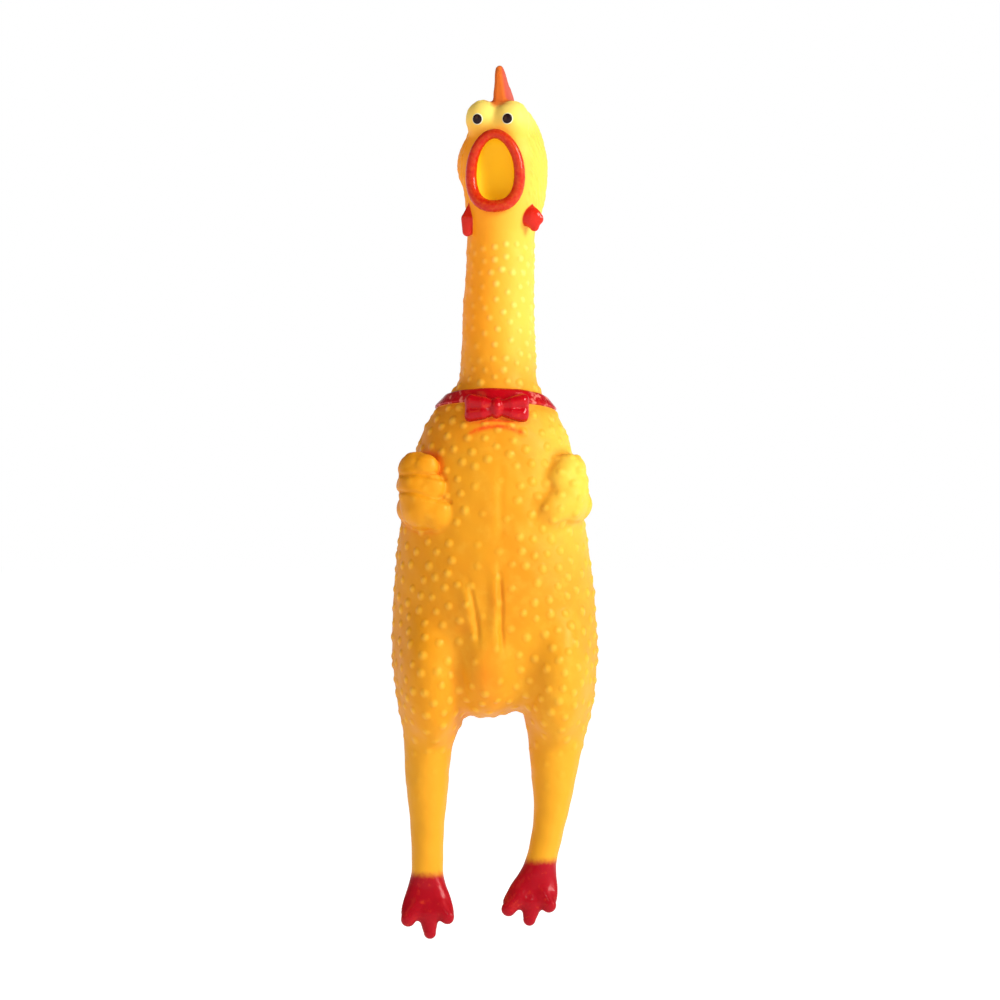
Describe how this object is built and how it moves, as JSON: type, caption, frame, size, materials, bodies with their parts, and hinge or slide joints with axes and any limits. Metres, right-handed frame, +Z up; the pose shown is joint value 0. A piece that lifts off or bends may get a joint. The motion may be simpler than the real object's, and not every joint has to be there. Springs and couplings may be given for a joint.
{
  "type": "rubber chicken squeaky toy",
  "caption": "Hollow soft-vinyl plucked chicken standing tall with a gaping mouth, bow tie and folded wings, which screams when its body is squeezed.",
  "frame": {"origin": "inside the body, on its middle line at the height of the belly panel's centre, where a hand grips and squeezes it; 117 mm above the lowest toe", "axes": "+Z up along the bird, -Y out of its belly, +X to the right of a viewer it faces"},
  "size_m": [0.0728, 0.0616, 0.3098],
  "materials": {
    "yellow_vinyl": "soft moulded vinyl with a low gloss, egg-yellow with an orange blush",
    "mouth_vinyl": "the same vinyl inside the mouth, more orange",
    "red_paint": "glossy red vinyl paint over the skin",
    "comb_paint": "orange-red airbrushed paint, satin",
    "black_paint": "gloss black",
    "white_paint": "gloss white",
    "squeaker_plastic": "natural moulded polythene",
    "reed_film": "thin clear-blue film"
  },
  "bodies": {
    "torso": {"breast_shell": "yellow_vinyl", "back_shell": "yellow_vinyl", "tail": "yellow_vinyl", "belly_flex_ring": "yellow_vinyl", "left_wing": "yellow_vinyl", "right_wing": "yellow_vinyl", "collar_band": "red_paint", "bow_left_loop": "red_paint", "bow_right_loop": "red_paint", "bow_knot": "red_paint", "neck_base_sleeve": "yellow_vinyl", "left_hip_sleeve": "yellow_vinyl", "right_hip_sleeve": "yellow_vinyl"},
    "belly": {"belly_panel": "yellow_vinyl"},
    "lower_neck": {"lower_neck_ring": "yellow_vinyl", "neck_middle_sleeve": "yellow_vinyl"},
    "middle_neck": {"middle_neck_ring": "yellow_vinyl", "neck_top_sleeve": "yellow_vinyl"},
    "head": {"upper_neck_tube": "yellow_vinyl", "head_shell": "yellow_vinyl", "mouth_lip": "red_paint", "mouth_lining": "mouth_vinyl", "comb": "comb_paint", "left_wattle": "red_paint", "right_wattle": "red_paint", "left_eye_white": "white_paint", "right_eye_white": "white_paint", "left_pupil": "black_paint", "right_pupil": "black_paint", "squeaker_barrel": "squeaker_plastic", "squeaker_cap": "squeaker_plastic", "tone_board": "squeaker_plastic", "reed_clamp": "squeaker_plastic"},
    "reed": {"reed": "reed_film"},
    "left_thigh": {"left_thigh_tube": "yellow_vinyl", "left_knee_sleeve": "yellow_vinyl"},
    "left_shin": {"left_shin_tube": "yellow_vinyl", "left_ankle_sleeve": "yellow_vinyl"},
    "left_foot": {"left_foot": "red_paint"},
    "right_thigh": {"right_thigh_tube": "yellow_vinyl", "right_knee_sleeve": "yellow_vinyl"},
    "right_shin": {"right_shin_tube": "yellow_vinyl", "right_ankle_sleeve": "yellow_vinyl"},
    "right_foot": {"right_foot": "red_paint"}
  },
  "joints": [
    {"name": "belly_squeeze", "type": "slide", "parent": "torso", "child": "belly", "axis": [0, 1, 0], "range_m": [0, 0.008], "stiffness_N_per_m": 1200, "deforming": ["belly_flex_ring"]},
    {"name": "neck_base_bend", "type": "hinge", "parent": "torso", "child": "lower_neck", "pos_m": [-0.00023, 0, 0.087], "axis": [1, 0, 0], "range_deg": [-45, 45], "stiffness_Nm_per_rad": 0.25, "deforming": ["neck_base_sleeve"]},
    {"name": "neck_side_bend", "type": "hinge", "parent": "lower_neck", "child": "middle_neck", "pos_m": [0.0003, 0, 0.102], "axis": [0, 1, 0], "range_deg": [-30, 30], "stiffness_Nm_per_rad": 0.2, "deforming": ["neck_middle_sleeve"]},
    {"name": "head_nod", "type": "hinge", "parent": "middle_neck", "child": "head", "pos_m": [0.00074, 0, 0.1155], "axis": [1, 0, 0], "range_deg": [-35, 30], "stiffness_Nm_per_rad": 0.2, "deforming": ["neck_top_sleeve"]},
    {"name": "reed_flutter", "type": "hinge", "parent": "head", "child": "reed", "pos_m": [0.0015, -0.00222, 0.133], "axis": [1, 0, 0], "range_deg": [-1.2, 4], "stiffness_Nm_per_rad": 0.002},
    {"name": "left_hip_swing", "type": "hinge", "parent": "torso", "child": "left_thigh", "pos_m": [-0.0246, -0.0011, -0.051], "axis": [1, 0, 0], "range_deg": [-60, 45], "stiffness_Nm_per_rad": 0.03, "deforming": ["left_hip_sleeve"]},
    {"name": "left_knee_splay", "type": "hinge", "parent": "left_thigh", "child": "left_shin", "pos_m": [-0.0247, -0.0015, -0.069], "axis": [0, 1, 0], "range_deg": [-15, 30], "stiffness_Nm_per_rad": 0.02, "deforming": ["left_knee_sleeve"]},
    {"name": "left_ankle_flap", "type": "hinge", "parent": "left_shin", "child": "left_foot", "pos_m": [-0.0247, -0.002, -0.089], "axis": [1, 0, 0], "range_deg": [-40, 35], "stiffness_Nm_per_rad": 0.01, "deforming": ["left_ankle_sleeve"]},
    {"name": "right_hip_swing", "type": "hinge", "parent": "torso", "child": "right_thigh", "pos_m": [0.02077, -0.00251, -0.051], "axis": [1, 0, 0], "range_deg": [-60, 45], "stiffness_Nm_per_rad": 0.03, "deforming": ["right_hip_sleeve"]},
    {"name": "right_knee_splay", "type": "hinge", "parent": "right_thigh", "child": "right_shin", "pos_m": [0.01961, -0.0057, -0.0685], "axis": [0, 1, 0], "range_deg": [-30, 12], "stiffness_Nm_per_rad": 0.02, "deforming": ["right_knee_sleeve"]},
    {"name": "right_ankle_flap", "type": "hinge", "parent": "right_shin", "child": "right_foot", "pos_m": [0.01635, -0.0093, -0.086], "axis": [1, 0, 0], "range_deg": [-40, 35], "stiffness_Nm_per_rad": 0.01, "deforming": ["right_ankle_sleeve"]}
  ]
}
